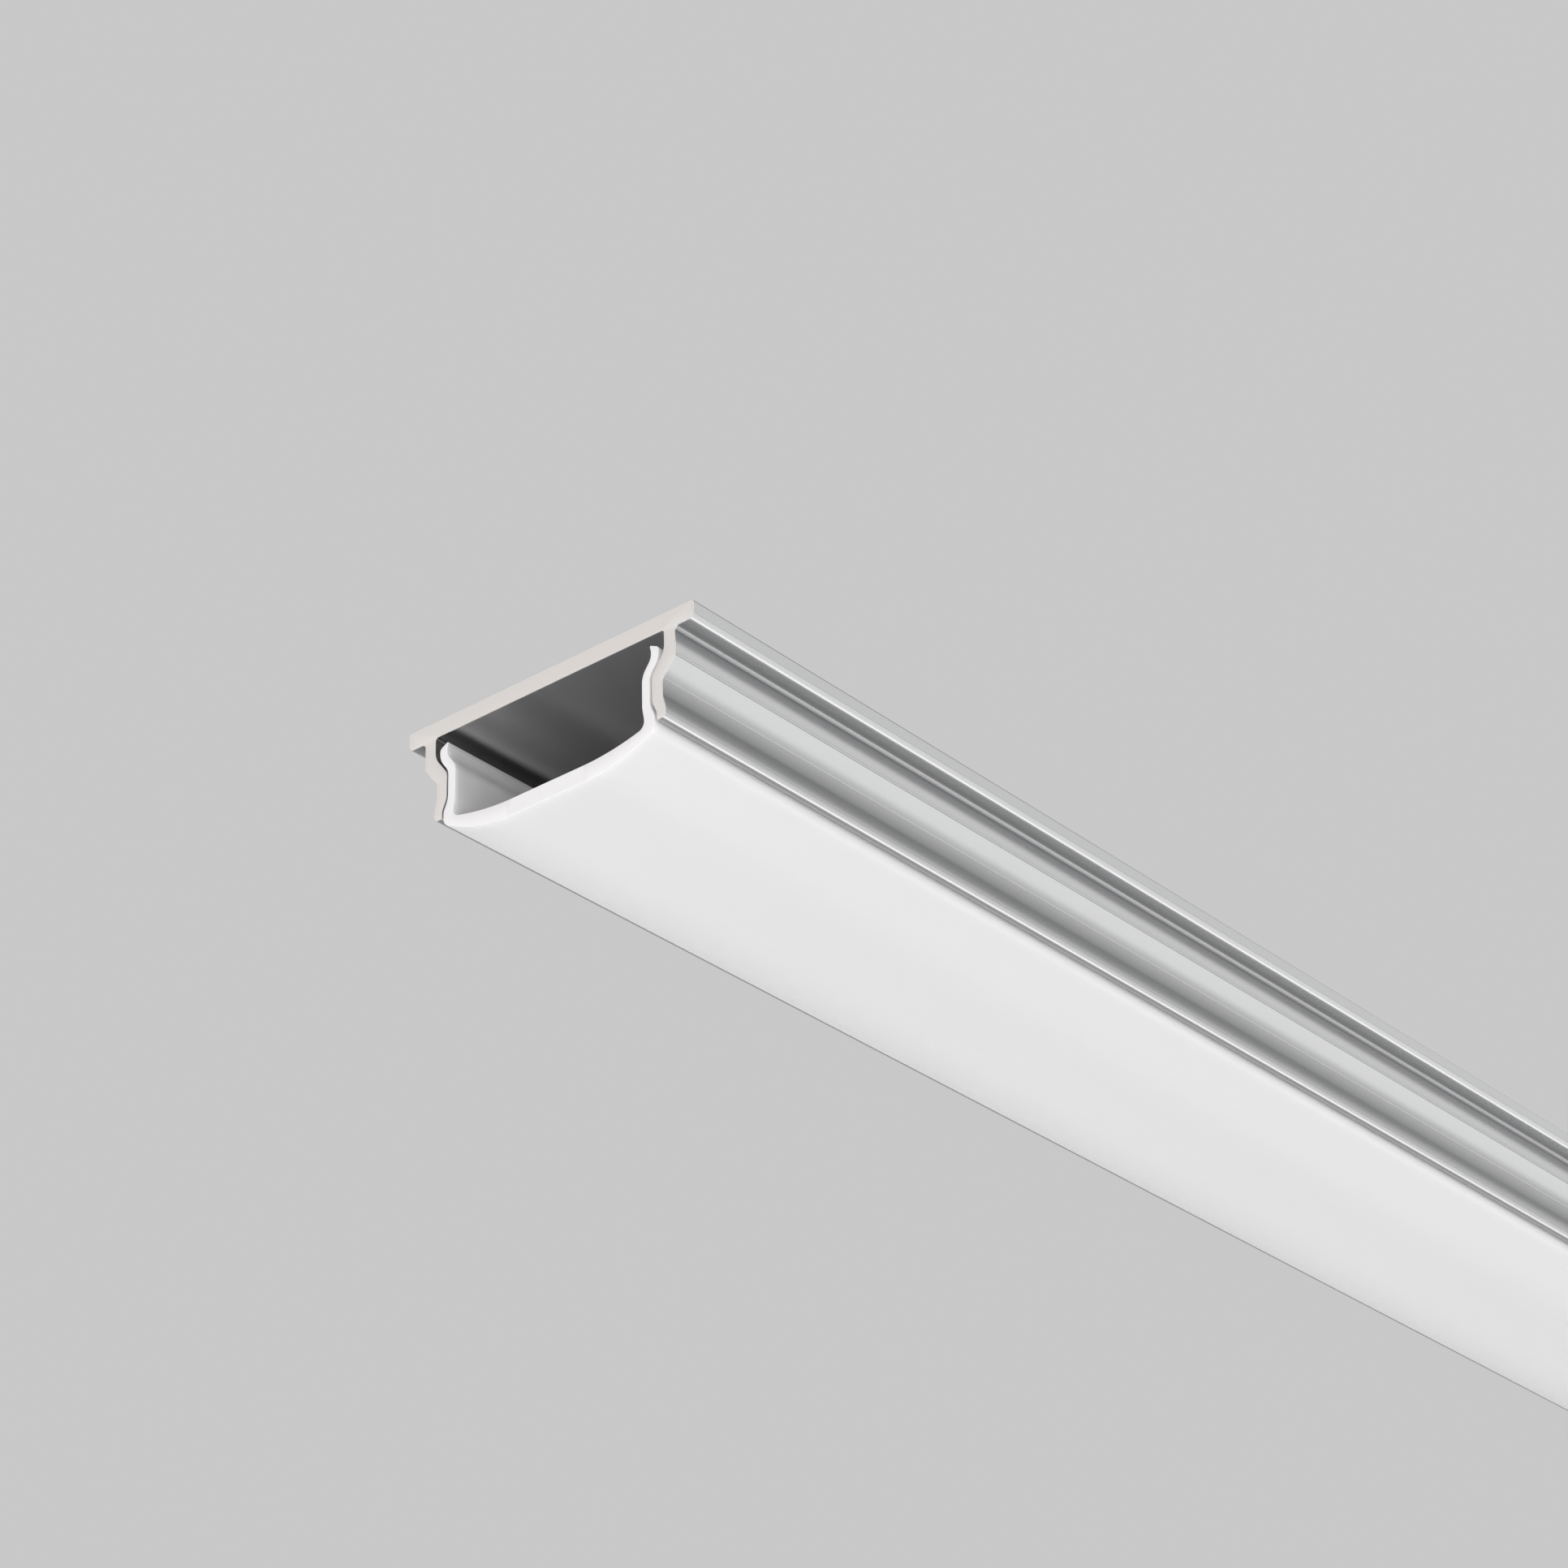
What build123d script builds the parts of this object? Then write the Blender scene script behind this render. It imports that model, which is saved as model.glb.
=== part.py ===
"""Surface-mounted LED strip profile: an aluminium channel with a clip-in opal diffuser.

Millimetres. +Z points at the surface that the profile is fixed to, X runs across it and Y along it.
The origin is in the middle of the mounting face. Depths are measured down from that face.
"""

import os
from math import atan2, cos, radians, sin, tan

from build123d import *

# Overall
length = 500.0
floor_thickness = 0.93
front_standout = 1.48

# Channel walls, seen from inside the channel
channel_width = 14.4
waist_inset = 0.76
foot_outset = 0.27
neck_height = 1.10
slope_height = 1.06
waist_height = 1.38
flare_height = 0.61
foot_height = 0.44

# Channel walls, thickness and edges
wall_thickness = 0.69
waist_thickness = 0.64
foot_thickness = 0.54
bend_lag = 0.41
slope_crown = 0.045
flare_lead = 0.15
foot_bevel_in = 0.15
foot_bevel_up = 0.26

# Ears along the base plate
ear_reach = 1.11
ear_thickness = 0.99
ear_bevel_in = 0.17
ear_bevel_up = 0.28

# Diffuser legs and catches
cover_gap = 0.11
leg_thickness = 0.47
leg_foot_thickness = 0.64
catch_clearance = 0.31
catch_headroom = 0.48
catch_point = 0.55
catch_slope = 0.27
catch_undercut = 0.37

# Diffuser front
front_thickness = 0.855
rim_drop = 1.11
front_break = 2.40
inner_rim_drop = 0.52
inner_break = 2.11

# Rounded corners
edge_round = 0.12
root_round = 0.30
floor_round = 0.16
inner_shoulder_round = 1.10
inner_waist_round = 0.75
outer_shoulder_round = 0.35
crown_round = 8.0
outer_waist_round = 0.30
flare_round = 1.00
foot_round = 0.60
outer_foot_round = 2.30
tip_round = 0.08
catch_round = 0.24
point_round = 0.05
rim_round = 0.50
rim_inner_round = 0.42
front_round = 8.2
inner_front_round = 14.0
roundable_share = 0.97

# Places that follow from the sizes above
inner_wall = channel_width / 2
inner_waist = inner_wall - waist_inset
inner_foot = inner_waist + foot_outset
outer_wall = inner_wall + wall_thickness
outer_waist = inner_waist + waist_thickness
outer_foot = inner_foot + foot_thickness
ear_edge = outer_wall + ear_reach

shoulder_depth = floor_thickness + neck_height
waist_depth = shoulder_depth + slope_height
flare_depth = waist_depth + waist_height
foot_depth = flare_depth + flare_height
tip_depth = foot_depth + foot_height
total_depth = tip_depth + front_standout

cover_waist = inner_waist - cover_gap
cover_rim = inner_foot - cover_gap
cover_catch = inner_wall - catch_clearance
cover_flare_depth = flare_depth + cover_gap
cover_foot_depth = foot_depth + cover_gap
catch_depth = floor_thickness + catch_headroom
wall_slant = atan2(waist_inset, slope_height)
outer_slant = atan2(outer_wall - outer_waist, slope_height)
crown_across = (outer_wall + outer_waist) / 2 + slope_crown * cos(outer_slant)
crown_depth = (shoulder_depth + waist_depth) / 2 + bend_lag + slope_crown * sin(outer_slant)


def slope_depth(across, setback):
    """Depth at which a line lying `setback` inside the wall's slope is `across` from the middle."""
    return shoulder_depth + (inner_wall - setback / cos(wall_slant) - across) / tan(wall_slant)


def fitted_radii(points, radii):
    """The corner radii, made smaller where two corners need more than the side between them."""
    sides = [Vector(*end) - Vector(*start) for start, end in zip(points, points[1:])]
    turns = [radians(side.get_angle(following)) for side, following in zip(sides, sides[1:])]
    used = [0, *(radius * tan(turn / 2) for radius, turn in zip(radii, turns)), 0]
    rooms = [roundable_share * side.length for side in sides]
    shares = [room / max(room, first + second) for room, first, second in zip(rooms, used, used[1:])]
    return [radius * min(pair) for radius, pair in zip(radii, zip(shares, shares[1:]))]


def half_outline(corners):
    """Half of a section: straight runs between (across, depth, radius) corners, closed on the middle."""
    points = [(across, -depth) for across, depth, radius in corners]
    radii = [radius for across, depth, radius in corners[1:-1]]
    FilletPolyline(*points, radius=fitted_radii(points, radii))
    Line(points[-1], points[0])


with BuildPart() as profile:
    with BuildSketch(Plane.XZ):
        with BuildLine():
            half_outline(
                [
                    (0, 0, 0),
                    (ear_edge, 0, edge_round),
                    (ear_edge, ear_thickness - ear_bevel_up, 0),
                    (ear_edge - ear_bevel_in, ear_thickness, 0),
                    (outer_wall, ear_thickness, root_round),
                    (outer_wall, shoulder_depth + bend_lag, outer_shoulder_round),
                    (crown_across, crown_depth, crown_round),
                    (outer_waist, waist_depth + bend_lag, outer_waist_round),
                    (outer_waist, flare_depth - flare_lead, flare_round),
                    (outer_foot, foot_depth - flare_lead, outer_foot_round),
                    (outer_foot, tip_depth - foot_bevel_up, 0),
                    (outer_foot - foot_bevel_in, tip_depth, 0),
                    (inner_foot, tip_depth, tip_round),
                    (inner_foot, foot_depth, foot_round),
                    (inner_waist, flare_depth, flare_round),
                    (inner_waist, waist_depth, inner_waist_round),
                    (inner_wall, shoulder_depth, inner_shoulder_round),
                    (inner_wall, floor_thickness, floor_round),
                    (0, floor_thickness, 0),
                ]
            )
        make_face()
        mirror(about=Plane.YZ)
    extrude(amount=length / 2, both=True)

with BuildPart() as diffuser:
    with BuildSketch(Plane.XZ):
        leg_inner_waist = cover_waist - leg_thickness
        leg_inner_foot = cover_rim - leg_foot_thickness
        leg_inner_catch = cover_catch - leg_thickness
        setback = cover_gap + leg_thickness
        inner_depth = total_depth - front_thickness
        with BuildLine():
            half_outline(
                [
                    (0, total_depth, 0),
                    (cover_rim - front_break, total_depth, front_round),
                    (cover_rim, total_depth - rim_drop, rim_round),
                    (cover_rim, cover_foot_depth, foot_round),
                    (cover_waist, cover_flare_depth, flare_round),
                    (cover_waist, slope_depth(cover_waist, cover_gap), inner_waist_round),
                    (cover_catch, slope_depth(cover_catch, cover_gap), inner_shoulder_round),
                    (cover_catch, catch_depth + catch_slope, catch_round),
                    (cover_catch - catch_point, catch_depth, point_round),
                    (leg_inner_catch, catch_depth + catch_undercut, catch_round),
                    (leg_inner_catch, slope_depth(leg_inner_catch, setback), inner_waist_round),
                    (leg_inner_waist, slope_depth(leg_inner_waist, setback), inner_shoulder_round),
                    (leg_inner_waist, cover_flare_depth, flare_round),
                    (leg_inner_foot, cover_foot_depth, foot_round),
                    (leg_inner_foot, inner_depth - inner_rim_drop, rim_inner_round),
                    (leg_inner_foot - inner_break, inner_depth, inner_front_round),
                    (0, inner_depth, 0),
                ]
            )
        make_face()
        mirror(about=Plane.YZ)
    extrude(amount=length / 2, both=True)

os.makedirs("parts", exist_ok=True)

profile.part.label = "profile"
export_step(profile.part, "parts/profile.step")

diffuser.part.label = "diffuser"
export_step(diffuser.part, "parts/diffuser.step")
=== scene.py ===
"""LED strip profile: a satin anodised channel with its opal diffuser, drawn, finished and lit.

Metres. +Z points at the surface that the profile is fixed to, X runs across it and Y along it.
"""

from math import acos, atan2, ceil, cos, pi, radians, sin, tan

import bmesh
import bpy
from bpy.props import FloatProperty, FloatVectorProperty, PointerProperty
from mathutils import Euler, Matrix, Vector


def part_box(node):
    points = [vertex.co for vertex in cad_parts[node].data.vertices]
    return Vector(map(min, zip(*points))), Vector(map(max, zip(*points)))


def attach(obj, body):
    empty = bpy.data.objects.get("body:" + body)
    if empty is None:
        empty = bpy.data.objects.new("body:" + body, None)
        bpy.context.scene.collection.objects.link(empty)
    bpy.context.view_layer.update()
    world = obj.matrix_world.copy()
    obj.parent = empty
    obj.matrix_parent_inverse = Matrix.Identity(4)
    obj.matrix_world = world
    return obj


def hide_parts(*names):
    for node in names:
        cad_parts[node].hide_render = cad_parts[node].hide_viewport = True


bl_info = {
    "name": "LED strip profile",
    "version": (1, 0, 0),
    "blender": (4, 5, 0),
    "location": "View3D > Sidebar > LED profile",
    "description": "Makes a surface-mounted LED strip profile with its diffuser, finishes and studio",
    "category": "Object",
}

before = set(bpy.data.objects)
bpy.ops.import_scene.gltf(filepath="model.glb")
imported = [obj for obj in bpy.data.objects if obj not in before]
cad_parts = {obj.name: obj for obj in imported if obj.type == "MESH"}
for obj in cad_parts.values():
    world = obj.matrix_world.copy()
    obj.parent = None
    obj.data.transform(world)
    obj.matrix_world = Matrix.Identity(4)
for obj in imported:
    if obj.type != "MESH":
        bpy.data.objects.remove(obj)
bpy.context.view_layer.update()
CHANNEL_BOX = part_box("profile")
DIFFUSER_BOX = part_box("diffuser")

MM = 0.001

# Places nearer than this are one place, in the millimetres that the pieces are drawn in
TOUCH = 1e-4

# Rounded corners have at least this many facets, and broken edges exactly as many
FEWEST_FACETS = 2

# Faces that meet at a smaller turn than this are shaded as one smooth surface
SMOOTH_TURN = radians(25)

# Where the finish finds its corners in the list that channel_corners gives
EAR_EDGE, EAR_BEVEL, EAR_ROOT, FLARE, FOOT_BEVEL = 1, 3, 4, 8, 11

# Unevenness of the finishes: grains to the metre along X, Y and Z
DIE_LINES = (4500, 6, 4500)
METAL_GRAIN = (14000, 14000, 14000)
FLOW_LINES = (1800, 4, 1800)
OPAL_GRAIN = (9000, 9000, 9000)

# The camera's sensor in millimetres, and the nearest and the farthest that it sees
SENSOR_WIDTH = 36
CLIP_NEAR = 0.01
CLIP_FAR = 30

# Strip lamps lie parallel to the profile: angle round it from the horizontal, width (both in
# degrees), strength
STRIP_LAMPS = {
    "low_side_strip": (-60, 20, 1.65),
    "slope_strip": (-26, 26, 0.92),
    "side_strip": (12, 24, 0.58),
    "upper_side_strip": (42, 16, 0.52),
}

# Round lamps: direction from the profile, width in degrees, strength
ROUND_LAMPS = {
    "front_lamp": ((0.10, -0.95, -0.30), 42, 0.75),
    "low_front_lamp": ((0.55, -0.70, -0.45), 42, 2.25),
    "left_front_lamp": ((-0.45, -0.70, -0.55), 42, 2.00),
    "far_end_lamp": ((-0.02, 0.87, 0.50), 42, 0.75),
}


def size(name, description, millimetres):
    """A length that the sidebar shows in the scene's own unit."""
    return FloatProperty(
        name=name,
        description=description,
        default=millimetres * MM,
        min=0,
        precision=5,
        unit="LENGTH",
    )


def distance(name, description, metres):
    """A length in the studio, which is large beside the profile."""
    return FloatProperty(name=name, description=description, default=metres, min=0, unit="LENGTH")


def share(name, description, value):
    """A part of something, from none to all of it."""
    return FloatProperty(
        name=name, description=description, default=value, min=0, max=1, subtype="FACTOR"
    )


def colour(name, description, red, green, blue):
    """A linear colour."""
    return FloatVectorProperty(
        name=name, description=description, default=(red, green, blue), min=0, max=1, subtype="COLOR"
    )


class ChannelSizes(bpy.types.PropertyGroup):
    """Section of the aluminium channel; its overall width, depth and length come from the frame"""

    channel_width: size("Channel width", "Between the walls, at the floor", 14.4)
    floor_thickness: size("Floor", "Thickness of the base plate", 0.93)
    waist_inset: size("Waist inset", "How far each wall steps in below its neck", 0.76)
    foot_outset: size("Foot outset", "How far each wall flares out again at its foot", 0.27)
    neck_height: size("Neck height", "Floor to the start of the slope", 1.10)
    slope_height: size("Slope height", "Height of the sloping part of the wall", 1.06)
    waist_height: size("Waist height", "Height of the straight waist", 1.38)
    flare_height: size("Flare height", "Height of the flare towards the foot", 0.61)
    wall_thickness: size("Wall", "Wall thickness at the neck", 0.69)
    waist_thickness: size("Waist wall", "Wall thickness at the waist", 0.64)
    foot_thickness: size("Foot wall", "Wall thickness at the foot", 0.54)
    bend_lag: size("Bend lag", "How far the outer bends sit below the inner ones", 0.41)
    slope_crown: size("Slope crown", "How far the outside of the slope bulges", 0.045)
    flare_lead: size("Flare lead", "How far the outer flare sits above the inner one", 0.15)
    foot_bevel_in: size("Foot bevel across", "Width of the bevel outside the foot", 0.15)
    foot_bevel_up: size("Foot bevel up", "Height of the bevel outside the foot", 0.26)
    ear_thickness: size("Ear", "Thickness of the ears", 0.99)
    ear_bevel_in: size("Ear bevel across", "Width of the bevel under the ear's edge", 0.17)
    ear_bevel_up: size("Ear bevel up", "Height of the bevel under the ear's edge", 0.28)
    edge_round: size("Edge round", "Radius along the ear's top edge", 0.12)
    bevel_round: size("Bevel round", "Radius that softens both edges of each bevel", 0.12)
    root_round: size("Root round", "Radius between ear and wall", 0.24)
    floor_round: size("Floor round", "Radius between floor and wall", 0.16)
    inner_shoulder_round: size("Inner shoulder", "Radius where the neck turns into the slope", 1.10)
    inner_waist_round: size("Inner waist", "Radius where the slope turns into the waist", 0.75)
    outer_shoulder_round: size("Outer shoulder", "Radius outside the neck's bend", 0.35)
    crown_round: size("Crown round", "Radius of the bulge outside the slope", 8.0)
    outer_waist_round: size("Outer waist", "Radius outside the waist's upper bend", 0.30)
    flare_round: size("Flare round", "Radius where the waist turns into the flare", 1.00)
    foot_round: size("Foot round", "Radius where the flare turns into the foot", 0.60)
    outer_foot_round: size("Outer foot round", "The same radius outside the wall", 2.07)
    tip_round: size("Tip round", "Radius of the foot's inner edge", 0.08)


class DiffuserSizes(bpy.types.PropertyGroup):
    """Section of the opal diffuser, which follows the channel at a clearance"""

    cover_gap: size("Clearance", "Gap between diffuser and channel walls", 0.11)
    leg_thickness: size("Leg", "Thickness of the legs", 0.47)
    leg_foot_thickness: size("Leg foot", "Thickness of the legs beside the channel's feet", 0.64)
    catch_headroom: size("Catch headroom", "Channel floor to the tips of the catches", 0.48)
    catch_point: size("Catch point", "How far the catches point inwards", 0.55)
    catch_slope: size("Catch slope", "Fall of the catch's top towards the wall", 0.27)
    catch_undercut: size("Catch undercut", "Fall of the catch's tip towards the leg", 0.37)
    front_thickness: size("Front", "Thickness of the front in its middle", 0.855)
    rim_drop: size("Rim drop", "How much the front falls away at its rims, outside", 1.11)
    front_break: size("Front break", "Width of the part of the front that falls away", 2.40)
    inner_rim_drop: size("Inner rim drop", "How much the front falls away at its rims, inside", 0.52)
    inner_break: size("Inner break", "Width of the part that falls away, inside", 2.11)
    catch_round: size("Catch round", "Radius of the catch's shoulder", 0.24)
    point_round: size("Point round", "Radius of the catch's tip", 0.05)
    rim_round: size("Rim round", "Radius of the front's outer rim", 0.50)
    rim_inner_round: size("Inner rim round", "Radius between front and leg, inside", 0.42)
    front_round: size("Front round", "Radius of the dome at each side of the front", 8.2)
    inner_front_round: size("Inner front round", "The same radius inside", 14.0)


class FinishSettings(bpy.types.PropertyGroup):
    """Edges, rounding, colours and gloss"""

    facet_error: size("Facet error", "How far a facet may lie inside the arc it stands for", 0.0005)
    sawn_edge: size("Sawn edge", "Width of the broken edge round the cut aluminium", 0.05)
    bare_share: share("Bare share", "Share of that broken edge that is bare like the sawn face", 0.3)
    snipped_edge: size("Snipped edge", "Width of the broken edge round the cut diffuser", 0.020)

    metal: colour("Anodised", "Satin anodised aluminium", 0.54, 0.542, 0.545)
    metal_shade: colour("Anodised, darker", "The darker of the die lines", 0.485, 0.487, 0.49)
    line_share: share("Line share", "How much of that pattern is die lines, and not grain", 0.3)
    metal_roughness: share("Metal roughness", "Roughness of the anodised aluminium", 0.19)
    line_roughness: share("Line roughness", "What the die lines add to it", 0.02)
    metal_bump: size("Metal bump", "Height of the sawn grain", 0.004)
    line_bump: share("Line bump", "Height of the die lines, as a share of the sawn grain", 0.15)
    grain_bump: share("Grain bump", "Height of the anodised grain, as a share of the same", 0.25)

    # Painted shade: these settings darken the aluminium near the ears' roots, round the flares and
    # along the ears' top edges, and make it rougher there
    painted_shade_metal: colour(
        "Shadowed metal", "Aluminium in the recesses, which polishing doesn't reach", 0.175, 0.177, 0.18
    )
    dull_roughness: share("Shadowed roughness", "What dullness adds to the roughness", 0.15)
    root_dull_shade: size("Shadowed root", "How far the dull aluminium fades out along the ears", 0.95)
    root_squash: FloatProperty(
        name="Root squash",
        description="How many times shorter it is down the walls",
        default=2.6,
        min=1,
    )
    flare_dull_shade: size("Shadowed flare", "How far it fades out from the flares", 1.3)
    flare_dull_shade_share: share("Flare dullness", "How dull the flares are", 0.8)
    edge_dull_shade: size("Shadowed edge", "How far it fades out from the top edges", 0.16)
    edge_dull_shade_share: share("Edge dullness", "How dull the top edges are", 0.7)

    # Painted highlight: these settings brighten the aluminium along the bevels and the broken edges
    # round the cut ends, and more faintly along the ears' roots
    painted_highlight_metal: colour("Highlight metal", "Aluminium rubbed bright along its edges", 0.84, 0.84, 0.845)
    highlight_reach: size("Highlight reach", "Width of the rubbed edges", 0.12)
    root_highlight_reach: size("Highlight root", "Width of the bright line along the roots", 0.2)
    root_highlight_share: share("Root brightness", "How much the roots are rubbed", 0.45)

    cut_metal: colour("Cut aluminium", "Bare sawn aluminium", 0.77, 0.735, 0.71)
    cut_shade: colour("Cut aluminium, darker", "The darker of its grains", 0.71, 0.675, 0.65)
    cut_metallic: share("Cut metallic", "How metallic the sawn ends look", 0.25)
    cut_roughness: share("Cut roughness", "What sawing adds to the roughness", 0.35)

    opal: colour("Opal", "Opal diffuser plastic", 0.80, 0.79, 0.795)
    opal_shade: colour("Opal, darker", "The darker of the flow lines", 0.785, 0.775, 0.78)
    opal_roughness: share("Opal roughness", "Roughness of the opal plastic", 0.38)
    opal_grain_roughness: share("Opal grain", "What its grain adds to the roughness", 0.05)
    opal_bump: size("Opal bump", "Height of the flow lines", 0.001)
    opal_depth: size("Opal depth", "How far light spreads under the surface", 1.0)
    opal_bending: FloatProperty(
        name="Opal bending", description="Index of refraction of the plastic", default=1.49, min=1
    )
    cut_opal: colour("Cut opal", "Dense white at the cut ends", 0.835, 0.82, 0.825)
    cut_opal_roughness: share("Cut opal roughness", "Roughness of the cut ends", 0.6)


class StageSettings(bpy.types.PropertyGroup):
    """Camera, floor, background and lamps"""

    camera_place: FloatVectorProperty(
        name="Camera",
        description="From the near end's top edge",
        default=(0.11158, -0.12021, -0.10110),
        subtype="XYZ",
    )
    camera_turn: FloatVectorProperty(
        name="Camera turn",
        description="Turn of the camera",
        default=(radians(120.012), radians(1.442), radians(39.895)),
        subtype="EULER",
    )
    lens: FloatProperty(name="Lens", description="Focal length in millimetres", default=94.58)
    background: colour("Background", "Even grey behind the object", 0.578, 0.578, 0.578)
    ceiling_shade: share(
        "Ceiling shade", "How bright the sky is overhead, as a share of the background", 0.47
    )
    ceiling_start: share("Ceiling start", "Height in the sky, 1 being overhead, where it darkens", 0.72)
    ceiling_full: share("Ceiling full", "Height in the sky from which it is darkest", 0.88)
    lamp_distance: distance("Lamp distance", "From the middle of the profile", 1.3)
    strip_middle: distance("Strip middle", "Place of the strip lamps along the profile", 1.2)
    strip_length: distance("Strip length", "Length of the strip lamps", 2.2)
    brightness: FloatProperty(
        name="Brightness", description="Strength of all the soft lamps", default=1
    )
    floor: colour("Floor", "Pale floor", 0.90, 0.90, 0.90)
    floor_roughness: share("Floor roughness", "Roughness of the floor", 0.9)
    floor_drop: distance("Floor drop", "Depth of the floor below the profile", 1.4)
    floor_size: distance("Floor size", "Side of the floor", 12)


class Value:
    """A number or a colour inside a finish; arithmetic on a number adds the nodes that work it out."""

    def __init__(self, finish, socket):
        self.finish = finish
        self.socket = socket

    def __add__(self, other):
        return self.finish.maths("ADD", self, other)

    def __sub__(self, other):
        return self.finish.maths("SUBTRACT", self, other)

    def __rsub__(self, other):
        return self.finish.maths("SUBTRACT", other, self)

    def __mul__(self, other):
        return self.finish.maths("MULTIPLY", self, other)

    def __abs__(self):
        return self.finish.maths("ABSOLUTE", self)

    def __gt__(self, other):
        return self.finish.maths("GREATER_THAN", self, other)

    __radd__ = __add__
    __rmul__ = __mul__


def find_socket(sockets, name):
    """A socket by number, or by name among those in use: a Mix node has an A for each kind of value."""
    if isinstance(name, int):
        return sockets[name]
    return next(socket for socket in sockets if socket.enabled and socket.name == name)


class Finish:
    """A node tree for a material or the world, built up by expressions."""

    def __init__(self, holder):
        holder.use_nodes = True
        self.tree = holder.node_tree
        self.tree.nodes.clear()

    def node(self, kind, settings=None, sockets=None, output=0):
        """Adds one node; settings come first, then values or links for its sockets."""
        made = self.tree.nodes.new(kind)
        for name, value in (settings or {}).items():
            setattr(made, name, value)
        for name, value in (sockets or {}).items():
            socket = find_socket(made.inputs, name)
            if isinstance(value, Value):
                self.tree.links.new(value.socket, socket)
            elif socket.type == "RGBA":
                socket.default_value = (*value, 1)
            else:
                socket.default_value = value
        return Value(self, find_socket(made.outputs, output)) if len(made.outputs) else None

    def maths(self, operation, *values):
        """Adds one Math node, to which the values go in their order."""
        return self.node("ShaderNodeMath", {"operation": operation}, dict(enumerate(values)))

    def place(self, kind="Object"):
        """Where the shaded point is on the object, or with "Generated" where the sky's point is."""
        return self.node("ShaderNodeTexCoord", output=kind)

    def along(self, axis):
        """The shaded point's place along one axis of the object."""
        return self.node("ShaderNodeSeparateXYZ", sockets={"Vector": self.place()}, output=axis)

    def noise(self, stretch, detail=2.0, roughness=0.5):
        """Noise with `stretch` grains to the metre along X, Y and Z."""
        scaled = self.node(
            "ShaderNodeVectorMath", {"operation": "MULTIPLY"}, {0: self.place(), 1: stretch}
        )
        return self.node(
            "ShaderNodeTexNoise",
            sockets={"Vector": scaled, "Scale": 1.0, "Detail": detail, "Roughness": roughness},
        )

    def mix(self, amount, first, second):
        """The first colour where the amount is 0, and the second where it is 1."""
        return self.node(
            "ShaderNodeMix",
            {"data_type": "RGBA", "blend_type": "MIX"},
            {"Factor": amount, "A": first, "B": second},
            output="Result",
        )

    def fade(self, value, start, end, first, last, curve="LINEAR"):
        """Goes from `first` to `last` while the value goes from `start` to `end`."""
        return self.node(
            "ShaderNodeMapRange",
            {"interpolation_type": curve},
            {"Value": value, "From Min": start, "From Max": end, "To Min": first, "To Max": last},
            output="Result",
        )

    def bump(self, height, depth):
        """Relief for a shader's Normal: `depth` metres where the height is 1."""
        return self.node(
            "ShaderNodeBump", sockets={"Height": height, "Distance": depth, "Strength": 1.0}
        )


def soft_lamp(name, place, turn, width, length, strength, settings):
    """A soft, even lamp: at strength 1 its own face is as bright as white. It is round at length 0."""
    light = bpy.data.lights.new(name, "AREA")
    light.shape = "RECTANGLE" if length else "DISK"
    light.size = width
    light.size_y = length or width
    area = width * length if length else pi * width**2 / 4
    light.energy = settings.brightness * strength * pi * area
    lamp = bpy.data.objects.new(name, light)
    bpy.context.scene.collection.objects.link(lamp)
    lamp.location = place
    lamp.rotation_euler = turn
    lamp.visible_camera = False


def strip_lamp(name, angle, spread, strength, settings):
    """A long lamp parallel to the profile, from beside its far half to well past its far end."""
    away = settings.lamp_distance
    place = (away * cos(radians(angle)), settings.strip_middle, away * sin(radians(angle)))
    turn = (0, radians(90 - angle), 0)
    width = 2 * away * tan(radians(spread / 2))
    soft_lamp(name, place, turn, width, settings.strip_length, strength, settings)


def round_lamp(name, direction, spread, strength, settings):
    """A round lamp that points at the middle of the profile."""
    place = settings.lamp_distance * Vector(direction).normalized()
    turn = place.to_track_quat("Z", "Y").to_euler()
    width = 2 * settings.lamp_distance * tan(radians(spread / 2))
    soft_lamp(name, place, turn, width, 0, strength, settings)


def deselect():
    bpy.ops.object.select_all(action="DESELECT")


def select_vertices(piece, wanted):
    """In edit mode, selects the vertices that `wanted` accepts, with what lies between them."""
    bpy.ops.mesh.select_all(action="DESELECT")
    mesh = bmesh.from_edit_mesh(piece.data)
    for vertex in mesh.verts:
        vertex.select_set(wanted(vertex.co))
    mesh.select_flush(True)
    bmesh.update_edit_mesh(piece.data)


def draw_face(name, points):
    """Draws one flat face through the points and leaves it in edit mode."""
    deselect()
    bpy.ops.mesh.primitive_plane_add(size=1, location=(0, 0, 0))
    piece = bpy.context.object
    piece.name = piece.data.name = name
    bpy.ops.object.mode_set(mode="EDIT")
    bpy.ops.mesh.select_mode(type="VERT")
    bpy.ops.mesh.merge(type="CENTER")
    bpy.ops.transform.translate(value=points[0])
    for start, end in zip(points, points[1:]):
        bpy.ops.mesh.extrude_vertices_move(TRANSFORM_OT_translate={"value": end - start})
    bpy.ops.mesh.select_all(action="SELECT")
    bpy.ops.mesh.edge_face_add()
    return piece


def round_corner(piece, point, turn, radius, facet_error):
    """Rounds one corner of the face, with as many facets as keep near enough to the arc."""
    select_vertices(piece, lambda place: (place - point).length < TOUCH)
    facet_turn = 2 * acos(1 - facet_error / radius)
    flatness = cos(turn / 2)
    # This profile puts the middle of the bevel's own curve on the arc, whatever the turn
    bevel_profile = ((1 + 2 * flatness) / (2 + 2 * flatness)) ** 2
    bpy.ops.mesh.bevel(
        offset=radius * tan(turn / 2),
        segments=max(FEWEST_FACETS, ceil(turn / facet_turn)),
        profile=bevel_profile,
        affect="VERTICES",
        clamp_overlap=False,
    )


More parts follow.
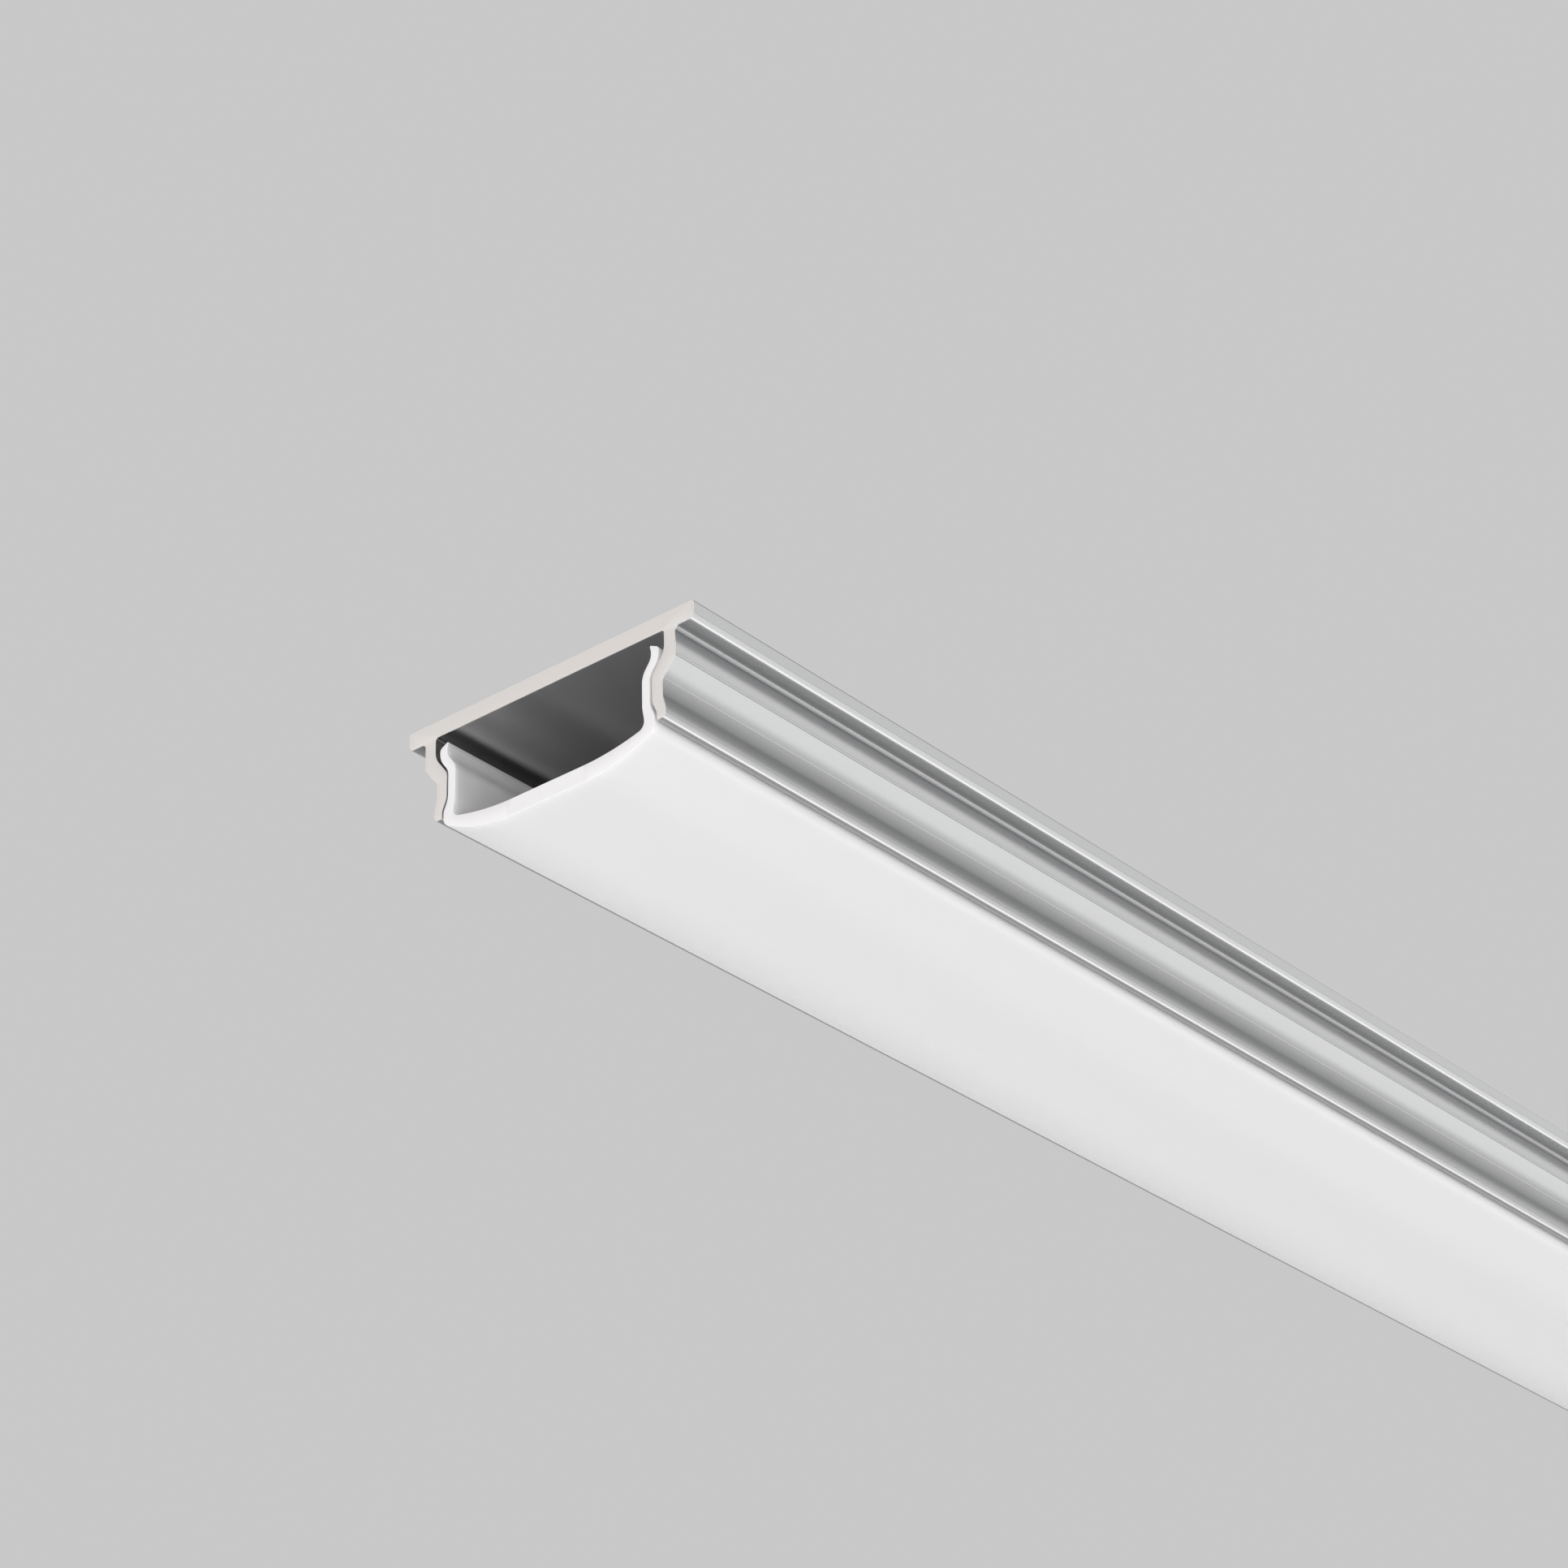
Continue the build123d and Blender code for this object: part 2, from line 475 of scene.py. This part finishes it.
def add_other_half(piece):
    """Mirrors the face and clears away the seam on the middle line."""
    bpy.ops.object.mode_set(mode="OBJECT")
    mirror = piece.modifiers.new("Other half", "MIRROR")
    mirror.merge_threshold = TOUCH
    bpy.ops.object.modifier_apply(modifier=mirror.name)
    bpy.ops.object.mode_set(mode="EDIT")
    select_vertices(piece, lambda place: abs(place.x) < TOUCH)
    bpy.ops.mesh.select_mode(type="EDGE")
    bpy.ops.mesh.dissolve_edges(use_verts=True)


def pull_to_length(travel):
    """Extrudes the whole face along Y and turns all faces outwards."""
    bpy.ops.mesh.select_mode(type="VERT")
    bpy.ops.mesh.select_all(action="SELECT")
    bpy.ops.mesh.extrude_region_move(TRANSFORM_OT_translate={"value": (0, travel, 0)})
    bpy.ops.mesh.select_all(action="SELECT")
    bpy.ops.mesh.normals_make_consistent(inside=False)


def break_cut_edge(piece, end, width):
    """Takes the sharpness off the edge round one cut end, and divides the end's face into triangles."""
    bpy.ops.mesh.select_mode(type="FACE")
    select_vertices(piece, lambda place: abs(place.y - end) < TOUCH)
    bpy.ops.mesh.region_to_loop()
    bpy.ops.mesh.bevel(offset=width, segments=FEWEST_FACETS, affect="EDGES", clamp_overlap=False)
    bpy.ops.mesh.select_mode(type="FACE")
    select_vertices(piece, lambda place: abs(place.y - end) < TOUCH)
    bpy.ops.mesh.quads_convert_to_tris(ngon_method="BEAUTY")


def shade_smooth(piece):
    """Smooth on the rounded corners and crisp at the sharp ones, with flat faces kept flat."""
    bpy.ops.object.shade_smooth_by_angle(angle=SMOOTH_TURN)
    weights = piece.modifiers.new("Flat faces stay flat", "WEIGHTED_NORMAL")
    weights.keep_sharp = True
    bpy.ops.object.modifier_apply(modifier=weights.name)


def draw_extrusion(name, corners, cut_edge, facet_error):
    """Draws half a section corner by corner, rounds its bends, mirrors it and pulls it to full length.

    Corners are (across, depth, radius). The first and the last lie on the middle line. The piece is
    drawn a thousand times as large, where its smallest edges are well over Blender's own tolerances.
    """
    near, far = CHANNEL_BOX[0].y / MM, CHANNEL_BOX[1].y / MM
    points = [Vector((across / MM, near, -depth / MM)) for across, depth, radius in corners]
    sides = [end - start for start, end in zip(points, points[1:])]
    turns = [side.angle(following) for side, following in zip(sides, sides[1:])]

    piece = draw_face(name, points)
    for (across, depth, radius), point, turn in zip(corners[1:-1], points[1:-1], turns):
        if radius > 0:
            round_corner(piece, point, turn, radius / MM, facet_error / MM)
    add_other_half(piece)
    pull_to_length(far - near)
    for end in (near, far):
        break_cut_edge(piece, end, cut_edge / MM)

    bpy.ops.object.mode_set(mode="OBJECT")
    piece.scale = (MM, MM, MM)
    bpy.ops.object.transform_apply(scale=True)
    shade_smooth(piece)
    return piece


def channel_corners(sizes):
    """Half the channel's section, from the middle of the mounting face round to the floor."""
    ear_edge = CHANNEL_BOX[1].x
    tip_depth = -CHANNEL_BOX[0].z
    inner_wall = sizes.channel_width / 2
    inner_waist = inner_wall - sizes.waist_inset
    inner_foot = inner_waist + sizes.foot_outset
    outer_wall = inner_wall + sizes.wall_thickness
    outer_waist = inner_waist + sizes.waist_thickness
    outer_foot = inner_foot + sizes.foot_thickness
    shoulder_depth = sizes.floor_thickness + sizes.neck_height
    waist_depth = shoulder_depth + sizes.slope_height
    flare_depth = waist_depth + sizes.waist_height
    foot_depth = flare_depth + sizes.flare_height
    slant = atan2(outer_wall - outer_waist, sizes.slope_height)
    crown_across = (outer_wall + outer_waist) / 2 + sizes.slope_crown * cos(slant)
    crown_depth = (shoulder_depth + waist_depth) / 2 + sizes.bend_lag + sizes.slope_crown * sin(slant)
    return [
        (0, 0, 0),
        (ear_edge, 0, sizes.edge_round),
        (ear_edge, sizes.ear_thickness - sizes.ear_bevel_up, sizes.bevel_round),
        (ear_edge - sizes.ear_bevel_in, sizes.ear_thickness, sizes.bevel_round),
        (outer_wall, sizes.ear_thickness, sizes.root_round),
        (outer_wall, shoulder_depth + sizes.bend_lag, sizes.outer_shoulder_round),
        (crown_across, crown_depth, sizes.crown_round),
        (outer_waist, waist_depth + sizes.bend_lag, sizes.outer_waist_round),
        (outer_waist, flare_depth - sizes.flare_lead, sizes.flare_round),
        (outer_foot, foot_depth - sizes.flare_lead, sizes.outer_foot_round),
        (outer_foot, tip_depth - sizes.foot_bevel_up, sizes.bevel_round),
        (outer_foot - sizes.foot_bevel_in, tip_depth, sizes.bevel_round),
        (inner_foot, tip_depth, sizes.tip_round),
        (inner_foot, foot_depth, sizes.foot_round),
        (inner_waist, flare_depth, sizes.flare_round),
        (inner_waist, waist_depth, sizes.inner_waist_round),
        (inner_wall, shoulder_depth, sizes.inner_shoulder_round),
        (inner_wall, sizes.floor_thickness, sizes.floor_round),
        (0, sizes.floor_thickness, 0),
    ]


def diffuser_corners(channel, sizes):
    """Half the diffuser's section, from the middle of its front up round the leg and back inside."""
    total_depth = -DIFFUSER_BOX[0].z
    cover_catch = DIFFUSER_BOX[1].x
    inner_wall = channel.channel_width / 2
    cover_waist = inner_wall - channel.waist_inset - sizes.cover_gap
    cover_rim = cover_waist + channel.foot_outset
    shoulder_depth = channel.floor_thickness + channel.neck_height
    flare_depth = shoulder_depth + channel.slope_height + channel.waist_height + sizes.cover_gap
    foot_depth = flare_depth + channel.flare_height
    catch_depth = channel.floor_thickness + sizes.catch_headroom
    inner_waist = cover_waist - sizes.leg_thickness
    inner_foot = cover_rim - sizes.leg_foot_thickness
    inner_catch = cover_catch - sizes.leg_thickness
    inner_depth = total_depth - sizes.front_thickness
    slant = atan2(channel.waist_inset, channel.slope_height)

    def slope_depth(across, setback):
        """Depth at which a line `setback` inside the wall's slope is `across` from the middle."""
        return shoulder_depth + (inner_wall - setback / cos(slant) - across) / tan(slant)

    behind = sizes.cover_gap + sizes.leg_thickness
    return [
        (0, total_depth, 0),
        (cover_rim - sizes.front_break, total_depth, sizes.front_round),
        (cover_rim, total_depth - sizes.rim_drop, sizes.rim_round),
        (cover_rim, foot_depth, channel.foot_round),
        (cover_waist, flare_depth, channel.flare_round),
        (cover_waist, slope_depth(cover_waist, sizes.cover_gap), channel.inner_waist_round),
        (cover_catch, slope_depth(cover_catch, sizes.cover_gap), channel.inner_shoulder_round),
        (cover_catch, catch_depth + sizes.catch_slope, sizes.catch_round),
        (cover_catch - sizes.catch_point, catch_depth, sizes.point_round),
        (inner_catch, catch_depth + sizes.catch_undercut, sizes.catch_round),
        (inner_catch, slope_depth(inner_catch, behind), channel.inner_waist_round),
        (inner_waist, slope_depth(inner_waist, behind), channel.inner_shoulder_round),
        (inner_waist, flare_depth, channel.flare_round),
        (inner_foot, foot_depth, channel.foot_round),
        (inner_foot, inner_depth - sizes.inner_rim_drop, sizes.rim_inner_round),
        (inner_foot - sizes.inner_break, inner_depth, sizes.inner_front_round),
        (0, inner_depth, 0),
    ]


def nearness(finish, corner, reach, most=1.0, squash=1.0):
    """How near the shaded point is to a corner of the section: `most` on it, and 0 from `reach` on.

    Up and down, the reach is shorter by `squash`.
    """
    across, depth, radius = corner
    aside = abs(finish.along("X")) - across
    below = (finish.along("Z") + depth) * squash
    away = finish.maths("SQRT", aside * aside + below * below)
    return finish.fade(away, 0.0, reach, most, 0.0)


def anodised_finish(settings, sizes):
    """Satin anodised aluminium with fine die lines along it, rougher in its recesses.

    It carries painted shade in its recesses and along the ears' top edges, and a painted highlight
    on its bevels, its roots and the broken edges round its cut ends; its sawn ends are bare.
    """
    material = bpy.data.materials.new("satin_anodised_aluminium")
    finish = Finish(material)
    die_lines = finish.noise(DIE_LINES, detail=3, roughness=0.6)
    grain = finish.noise(METAL_GRAIN)
    corners = channel_corners(sizes)

    from_middle = abs(finish.along("Y"))
    half_length = CHANNEL_BOX[1].y
    cut = from_middle > half_length - settings.bare_share * settings.sawn_edge
    broken = from_middle > half_length - settings.sawn_edge

    # Painted shade near the ears' roots, round the flares and along the ears' top edges; the same mask
    # adds roughness there
    dull_and_shadowed = nearness(finish, corners[EAR_ROOT], settings.root_dull_shade, squash=settings.root_squash)
    for corner, reach, most in (
        (FLARE, settings.flare_dull_shade, settings.flare_dull_shade_share),
        (EAR_EDGE, settings.edge_dull_shade, settings.edge_dull_shade_share),
    ):
        dull_and_shadowed = finish.maths("MAXIMUM", dull_and_shadowed, nearness(finish, corners[corner], reach, most))

    # Painted highlight along the ears' roots, the bevels and the broken edges round the cut ends
    highlighted = nearness(finish, corners[EAR_ROOT], settings.root_highlight_reach, settings.root_highlight_share)
    for corner in (EAR_BEVEL, FOOT_BEVEL):
        highlighted = highlighted + nearness(finish, corners[corner], settings.highlight_reach)
    highlighted = finish.maths("MAXIMUM", highlighted, broken)

    pattern = die_lines * settings.line_share + grain * (1 - settings.line_share)
    satin = finish.mix(pattern, settings.metal_shade, settings.metal)
    # The satin colour takes the painted shade, then the painted highlight
    satin = finish.mix(dull_and_shadowed, satin, settings.painted_shade_metal)
    satin = finish.mix(highlighted, satin, settings.painted_highlight_metal)
    bare = finish.mix(grain, settings.cut_shade, settings.cut_metal)
    roughness = (
        settings.metal_roughness
        + die_lines * settings.line_roughness
        + dull_and_shadowed * settings.dull_roughness
        + cut * settings.cut_roughness
    )
    relief = die_lines * settings.line_bump + grain * settings.grain_bump
    height = cut * grain + (1 - cut) * (1 - highlighted) * relief
    shader = finish.node(
        "ShaderNodeBsdfPrincipled",
        sockets={
            "Base Color": finish.mix(cut, satin, bare),
            "Metallic": 1 - cut * (1 - settings.cut_metallic),
            "Roughness": roughness,
            "Normal": finish.bump(height, settings.metal_bump),
        },
    )
    finish.node("ShaderNodeOutputMaterial", sockets={"Surface": shader})
    return material


def opal_finish(settings):
    """Opal plastic that lets light through, with a soft sheen, faint flow lines and white ends."""
    material = bpy.data.materials.new("opal_plastic")
    finish = Finish(material)
    cut = abs(finish.along("Y")) > CHANNEL_BOX[1].y - settings.snipped_edge
    flow = finish.noise(FLOW_LINES)
    grain = finish.noise(OPAL_GRAIN)
    opal = finish.node(
        "ShaderNodeBsdfPrincipled",
        sockets={
            "Base Color": finish.mix(flow, settings.opal_shade, settings.opal),
            "Roughness": settings.opal_roughness + grain * settings.opal_grain_roughness,
            "Normal": finish.bump(flow, settings.opal_bump),
            "IOR": settings.opal_bending,
            "Subsurface Weight": 1.0,
            "Subsurface Radius": (1.0, 1.0, 1.0),
            "Subsurface Scale": settings.opal_depth,
        },
    )
    end = finish.node(
        "ShaderNodeBsdfPrincipled",
        sockets={"Base Color": settings.cut_opal, "Roughness": settings.cut_opal_roughness},
    )
    surface = finish.node("ShaderNodeMixShader", sockets={0: cut, 1: opal, 2: end})
    finish.node("ShaderNodeOutputMaterial", sockets={"Surface": surface})
    return material


def floor_finish(settings):
    """Matt pale paint."""
    material = bpy.data.materials.new("pale_floor")
    finish = Finish(material)
    shader = finish.node(
        "ShaderNodeBsdfPrincipled",
        sockets={"Base Color": settings.floor, "Roughness": settings.floor_roughness},
    )
    finish.node("ShaderNodeOutputMaterial", sockets={"Surface": shader})
    return material


def studio_sky(settings):
    """An even grey all round, which darkens overhead."""
    world = bpy.data.worlds.new("studio")
    sky = Finish(world)
    rise = sky.node("ShaderNodeSeparateXYZ", sockets={"Vector": sky.place("Generated")}, output="Z")
    overhead = sky.fade(rise, settings.ceiling_start, settings.ceiling_full, 0.0, 1.0, "SMOOTHSTEP")
    dim = settings.background * settings.ceiling_shade
    light = sky.node(
        "ShaderNodeBackground",
        sockets={"Color": sky.mix(overhead, settings.background, dim), "Strength": 1.0},
    )
    sky.node("ShaderNodeOutputWorld", sockets={"Surface": light})
    return world


class PROFILE_OT_channel(bpy.types.Operator):
    """Draw the aluminium channel and give it its anodised finish"""

    bl_idname = "led_profile.channel"
    bl_label = "Channel"

    def execute(self, context):
        scene = context.scene
        piece = draw_extrusion(
            "channel",
            channel_corners(scene.channel_sizes),
            scene.finish_settings.sawn_edge,
            scene.finish_settings.facet_error,
        )
        piece.data.materials.append(anodised_finish(scene.finish_settings, scene.channel_sizes))
        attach(piece, "profile")
        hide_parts("profile")
        return {"FINISHED"}


class PROFILE_OT_diffuser(bpy.types.Operator):
    """Draw the opal diffuser and give it its finish"""

    bl_idname = "led_profile.diffuser"
    bl_label = "Diffuser"

    def execute(self, context):
        scene = context.scene
        piece = draw_extrusion(
            "opal_diffuser",
            diffuser_corners(scene.channel_sizes, scene.diffuser_sizes),
            scene.finish_settings.snipped_edge,
            scene.finish_settings.facet_error,
        )
        piece.data.materials.append(opal_finish(scene.finish_settings))
        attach(piece, "diffuser")
        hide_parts("diffuser")
        return {"FINISHED"}


class PROFILE_OT_stage(bpy.types.Operator):
    """Set up the camera, the floor, the background and the light"""

    bl_idname = "led_profile.stage"
    bl_label = "Stage"

    def execute(self, context):
        settings = context.scene.stage_settings
        near_edge = Vector((0, CHANNEL_BOX[0].y, 0))

        camera = bpy.data.objects.new("camera", bpy.data.cameras.new("camera"))
        context.scene.collection.objects.link(camera)
        camera.location = near_edge + Vector(settings.camera_place)
        camera.rotation_euler = Euler(settings.camera_turn)
        camera.data.sensor_width = SENSOR_WIDTH
        camera.data.lens = settings.lens
        camera.data.clip_start = CLIP_NEAR
        camera.data.clip_end = CLIP_FAR
        context.scene.camera = camera

        deselect()
        below = (0, 0, -settings.floor_drop)
        bpy.ops.mesh.primitive_plane_add(size=settings.floor_size, location=below)
        floor = context.object
        floor.name = "floor"
        floor.data.materials.append(floor_finish(settings))

        context.scene.world = studio_sky(settings)
        for name, (angle, spread, strength) in STRIP_LAMPS.items():
            strip_lamp(name, angle, spread, strength, settings)
        for name, (direction, spread, strength) in ROUND_LAMPS.items():
            round_lamp(name, direction, spread, strength, settings)
        context.scene.view_settings.view_transform = "Standard"
        return {"FINISHED"}


class PROFILE_PT_panel(bpy.types.Panel):
    """The steps that make the profile"""

    bl_idname = "PROFILE_PT_panel"
    bl_label = "LED strip profile"
    bl_space_type = "VIEW_3D"
    bl_region_type = "UI"
    bl_category = "LED profile"

    def draw(self, context):
        for operator in OPERATORS:
            self.layout.operator(operator.bl_idname)


OPERATORS = (PROFILE_OT_channel, PROFILE_OT_diffuser, PROFILE_OT_stage)
SETTINGS = {
    "channel_sizes": ChannelSizes,
    "diffuser_sizes": DiffuserSizes,
    "finish_settings": FinishSettings,
    "stage_settings": StageSettings,
}
CLASSES = (*SETTINGS.values(), *OPERATORS, PROFILE_PT_panel)


def register():
    for each in CLASSES:
        bpy.utils.register_class(each)
    for name, group in SETTINGS.items():
        setattr(bpy.types.Scene, name, PointerProperty(type=group))


def unregister():
    for name in SETTINGS:
        delattr(bpy.types.Scene, name)
    for each in reversed(CLASSES):
        bpy.utils.unregister_class(each)


def main():
    register()
    bpy.ops.led_profile.channel()
    bpy.ops.led_profile.diffuser()
    bpy.ops.led_profile.stage()


if __name__ == "__main__":
    main()
